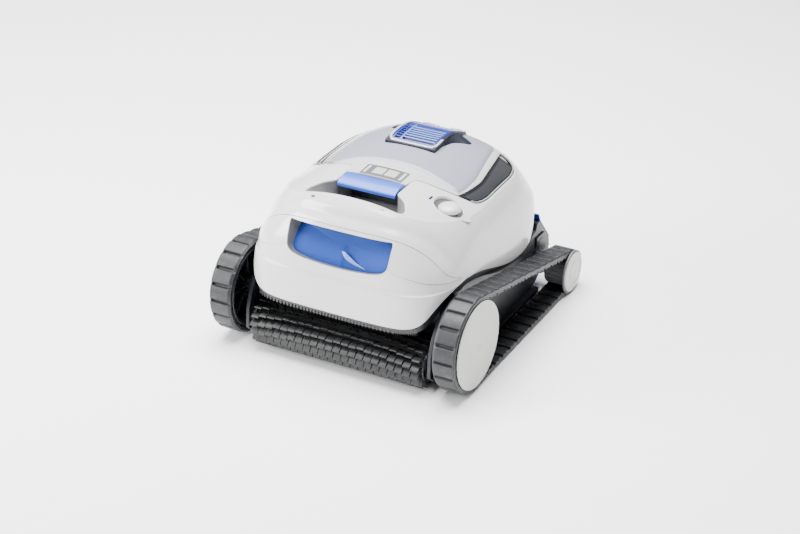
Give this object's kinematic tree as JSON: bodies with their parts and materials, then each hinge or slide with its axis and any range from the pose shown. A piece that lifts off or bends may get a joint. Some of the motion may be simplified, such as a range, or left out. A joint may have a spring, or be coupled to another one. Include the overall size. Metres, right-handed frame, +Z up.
{
  "type": "pool cleaner",
  "caption": "Cordless pool-cleaning robot with rubber tracks, a driven front brush, a hinged lid over a filter basket and a pump outlet on top.",
  "frame": {"origin": "on the floor, under the middle of the bounding box", "axes": "+Z up, the brush and the front panel face -Y, +X to the side that carries the power button"},
  "size_m": [0.4096, 0.4314, 0.2719],
  "materials": {
    "hull": "gloss moulded",
    "window": "satin moulded",
    "frosted": "frosted translucent look",
    "smoked": "smoked gloss",
    "blue": "satin moulded",
    "latch_blue": "satin moulded",
    "cowl": "satin moulded",
    "dark": "satin moulded",
    "inner": "moulded",
    "basket": "moulded",
    "mesh": "fine filter mesh",
    "rubber": "moulded rubber",
    "brush": "moulded rubber",
    "cap": "satin moulded",
    "roller": "moulded",
    "steel": "ground",
    "lens": "polished"
  },
  "bodies": {
    "chassis": {"chassis_tray": "dark", "hull_shell": "hull", "front_panel": "hull", "window_panel": "window", "comb_strip": "roller", "tail_panel": "blue", "motor_unit": "inner", "outlet_duct": "inner", "battery_pack": "inner", "control_box": "inner", "basket_frame": "basket", "basket_screen_front": "mesh", "basket_screen_rear": "mesh", "basket_handle": "blue", "button_seat": "inner", "led_lens": "lens", "side_plate_left": "dark", "track_belt_left": "rubber", "front_axle_left": "steel", "rear_axle_left": "steel", "brush_bearing_left": "inner", "drive_motor_left": "inner", "inlet_duct_left": "inner", "flap_pin_left": "steel", "hinge_pin_left": "steel", "basket_screen_left": "mesh", "side_plate_right": "dark", "track_belt_right": "rubber", "front_axle_right": "steel", "rear_axle_right": "steel", "brush_bearing_right": "inner", "drive_motor_right": "inner", "inlet_duct_right": "inner", "flap_pin_right": "steel", "hinge_pin_right": "steel", "basket_screen_right": "mesh"},
    "lid": {"lid_frame": "inner", "lid_panel": "frosted", "lid_pane_left": "smoked", "lid_pane_right": "smoked", "outlet_cowl": "cowl", "outlet_grille": "blue", "latch_pin": "steel"},
    "latch": {"latch": "latch_blue"},
    "power_button": {"power_button": "hull"},
    "impeller": {"impeller": "cap"},
    "brush": {"brush_core": "inner", "brush_sleeve": "brush", "brush_end_left": "inner", "brush_end_right": "inner"},
    "front_wheel_left": {"front_wheel_left": "roller", "front_cap_left": "cap"},
    "rear_wheel_left": {"rear_roller_left": "roller", "rear_cap_left": "cap"},
    "inlet_flap_left": {"inlet_flap_left": "blue"},
    "front_wheel_right": {"front_wheel_right": "roller", "front_cap_right": "cap"},
    "rear_wheel_right": {"rear_roller_right": "roller", "rear_cap_right": "cap"},
    "inlet_flap_right": {"inlet_flap_right": "blue"}
  },
  "joints": [
    {"name": "lid_hinge", "type": "hinge", "parent": "chassis", "child": "lid", "pos_m": [0, 0.1365, 0.24947], "axis": [-1, 0, 0], "range_deg": [0, 80]},
    {"name": "latch_pull", "type": "hinge", "parent": "lid", "child": "latch", "pos_m": [0, -0.078, 0.2495], "axis": [-1, 0, 0], "range_deg": [0, 20], "stiffness_Nm_per_rad": 0.05},
    {"name": "power_press", "type": "slide", "parent": "chassis", "child": "power_button", "axis": [0, 0, -1], "range_m": [0, 0.0025], "stiffness_N_per_m": 400},
    {"name": "impeller_spin", "type": "hinge", "parent": "chassis", "child": "impeller", "pos_m": [0, 0.082, 0.215], "axis": [0, 0, 1], "continuous": true},
    {"name": "brush_spin", "type": "hinge", "parent": "chassis", "child": "brush", "pos_m": [0, -0.17, 0.0373], "axis": [1, 0, 0], "continuous": true},
    {"name": "front_wheel_left_spin", "type": "hinge", "parent": "chassis", "child": "front_wheel_left", "pos_m": [-0.18, -0.14345, 0.07235], "axis": [1, 0, 0], "continuous": true},
    {"name": "rear_wheel_left_spin", "type": "hinge", "parent": "chassis", "child": "rear_wheel_left", "pos_m": [-0.18, 0.18135, 0.0345], "axis": [1, 0, 0], "continuous": true},
    {"name": "inlet_flap_left_swing", "type": "hinge", "parent": "chassis", "child": "inlet_flap_left", "pos_m": [-0.085, 0.01, 0.026], "axis": [-1, 0, 0], "range_deg": [0, 65]},
    {"name": "front_wheel_right_spin", "type": "hinge", "parent": "chassis", "child": "front_wheel_right", "pos_m": [0.18, -0.14345, 0.07235], "axis": [1, 0, 0], "continuous": true},
    {"name": "rear_wheel_right_spin", "type": "hinge", "parent": "chassis", "child": "rear_wheel_right", "pos_m": [0.18, 0.18135, 0.0345], "axis": [1, 0, 0], "continuous": true},
    {"name": "inlet_flap_right_swing", "type": "hinge", "parent": "chassis", "child": "inlet_flap_right", "pos_m": [0.085, 0.01, 0.026], "axis": [-1, 0, 0], "range_deg": [0, 65]}
  ],
  "couplings": [
    {"joint": "rear_wheel_left_spin", "follows": "front_wheel_left_spin", "ratio": 2.2575},
    {"joint": "rear_wheel_right_spin", "follows": "front_wheel_right_spin", "ratio": 2.2575},
    {"joint": "brush_spin", "follows": "front_wheel_right_spin", "ratio": 2}
  ]
}
